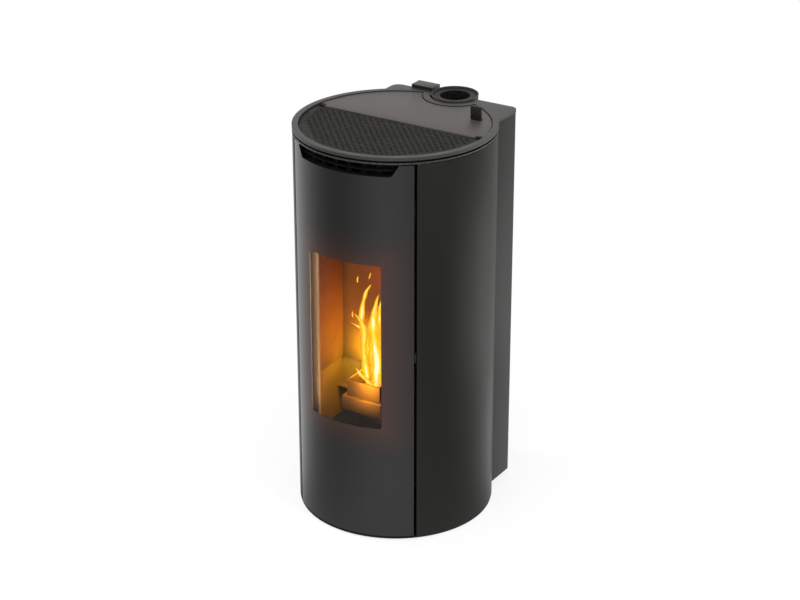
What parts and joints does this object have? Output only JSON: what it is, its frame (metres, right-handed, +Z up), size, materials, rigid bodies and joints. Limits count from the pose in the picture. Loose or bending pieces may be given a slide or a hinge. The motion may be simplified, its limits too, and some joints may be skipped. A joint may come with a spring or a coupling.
{
  "type": "pellet stove",
  "caption": "Round-bodied pellet stove with a curved glass door, a grille and a fuel lid on top, and a flue rising in a channel of its rear housing, with its fuel feed, fire and fans inside.",
  "frame": {"origin": "on the floor, under the middle of the stove's outline", "axes": "+Z up, -Y towards the door, +X towards the viewer's right when facing the door"},
  "size_m": [0.522, 0.5814, 1.0983],
  "materials": {
    "door_glass": "black-printed glass ceramic, polished, clear in its window",
    "dark_steel": "satin dark brown-grey paint",
    "grey_steel": "matt warm grey paint",
    "housing_steel": "matt grey paint",
    "black_steel": "matt heat-proof black paint",
    "cast_iron": "rough, sooty",
    "zinc_steel": "zinc-coated sheet",
    "fire_brick": "pressed vermiculite board, dry and matt",
    "seal_rope": "braided glass-fibre rope",
    "black_plastic": "moulded",
    "circuit_board": "lacquered board"
  },
  "bodies": {
    "stove": {"base_plate": "black_steel", "left_side_panel": "dark_steel", "right_side_panel": "dark_steel", "left_upright": "zinc_steel", "right_upright": "zinc_steel", "rear_housing": "housing_steel", "top_plate": "grey_steel", "top_frame": "grey_steel", "top_grille": "black_steel", "lid_hinge_left": "black_steel", "lid_hinge_right": "black_steel", "flue_shroud": "black_steel", "flue_pipe": "black_steel", "flue_ledge": "grey_steel", "flue_base": "black_steel", "flue_clamp_upper": "zinc_steel", "flue_clamp_lower": "zinc_steel", "receiver_box": "grey_steel", "receiver_window": "black_plastic", "hinge_pin_lower": "zinc_steel", "hinge_pin_upper": "zinc_steel", "latch_keeper": "zinc_steel", "firebox": "cast_iron", "back_liner": "fire_brick", "left_liner": "fire_brick", "right_liner": "fire_brick", "baffle_plate": "cast_iron", "burn_pot_holder": "cast_iron", "igniter": "zinc_steel", "air_inlet_pipe": "zinc_steel", "pellet_hopper": "zinc_steel", "auger_tube": "zinc_steel", "auger_motor": "black_steel", "feed_chute": "zinc_steel", "exhaust_duct": "zinc_steel", "smoke_fan_housing": "zinc_steel", "smoke_fan_motor": "black_steel", "room_fan_housing": "zinc_steel", "room_fan_motor": "black_steel", "air_outlet_louvre": "black_steel", "control_board": "circuit_board", "power_inlet": "black_plastic"},
    "door": {"door_glass": "door_glass", "door_frame": "black_steel", "door_seal": "seal_rope"},
    "latch": {"latch_lever": "black_steel"},
    "lid": {"pellet_lid": "grey_steel", "lid_handle": "black_plastic"},
    "drawer": {"ash_drawer": "zinc_steel"},
    "pot": {"burn_pot": "cast_iron"},
    "auger": {"auger_screw": "cast_iron"},
    "smoke_fan": {"smoke_fan_impeller": "zinc_steel"},
    "room_fan": {"room_fan_impeller": "black_steel"},
    "switch": {"power_switch": "black_plastic"},
    "front_left_foot": {"foot_front_left": "black_plastic"},
    "front_right_foot": {"foot_front_right": "black_plastic"},
    "rear_left_foot": {"foot_rear_left": "black_plastic"},
    "rear_right_foot": {"foot_rear_right": "black_plastic"}
  },
  "joints": [
    {"name": "door_swing", "type": "hinge", "parent": "stove", "child": "door", "pos_m": [-0.16665, -0.21735, 0.525], "axis": [0, 0, -1], "range_deg": [0, 95]},
    {"name": "latch_turn", "type": "hinge", "parent": "door", "child": "latch", "pos_m": [0.16918, -0.20824, 0.525], "axis": [0.726, 0.6877, 0], "range_deg": [0, 25]},
    {"name": "lid_swing", "type": "hinge", "parent": "stove", "child": "lid", "pos_m": [0, -0.01315, 1.059], "axis": [1, 0, 0], "range_deg": [0, 80]},
    {"name": "drawer_slide", "type": "slide", "parent": "stove", "child": "drawer", "axis": [0, -1, 0], "range_m": [0, 0.14]},
    {"name": "pot_lift", "type": "slide", "parent": "stove", "child": "pot", "axis": [0, 0, 1], "range_m": [0, 0.04]},
    {"name": "auger_turn", "type": "hinge", "parent": "stove", "child": "auger", "pos_m": [0, 0.07035, 0.504], "axis": [0, -0.7071, 0.7071], "continuous": true},
    {"name": "smoke_fan_turn", "type": "hinge", "parent": "stove", "child": "smoke_fan", "pos_m": [0.078, -0.04465, 0.09], "axis": [0, 0, 1], "continuous": true},
    {"name": "room_fan_turn", "type": "hinge", "parent": "stove", "child": "room_fan", "pos_m": [-0.055, -0.10565, 0.066], "axis": [1, 0, 0], "continuous": true},
    {"name": "switch_rock", "type": "hinge", "parent": "stove", "child": "switch", "pos_m": [0.134, 0.22865, 0.135], "axis": [1, 0, 0], "range_deg": [0, 18]},
    {"name": "front_left_foot_turn_out", "type": "slide", "parent": "stove", "child": "front_left_foot", "axis": [0, 0, -1], "range_m": [0, 0.012]},
    {"name": "front_right_foot_turn_out", "type": "slide", "parent": "stove", "child": "front_right_foot", "axis": [0, 0, -1], "range_m": [0, 0.012]},
    {"name": "rear_left_foot_turn_out", "type": "slide", "parent": "stove", "child": "rear_left_foot", "axis": [0, 0, -1], "range_m": [0, 0.012]},
    {"name": "rear_right_foot_turn_out", "type": "slide", "parent": "stove", "child": "rear_right_foot", "axis": [0, 0, -1], "range_m": [0, 0.012]}
  ],
  "couplings": [
    {"joint": "drawer_slide", "follows": "door_swing", "m_per_rad": 0.08}
  ]
}
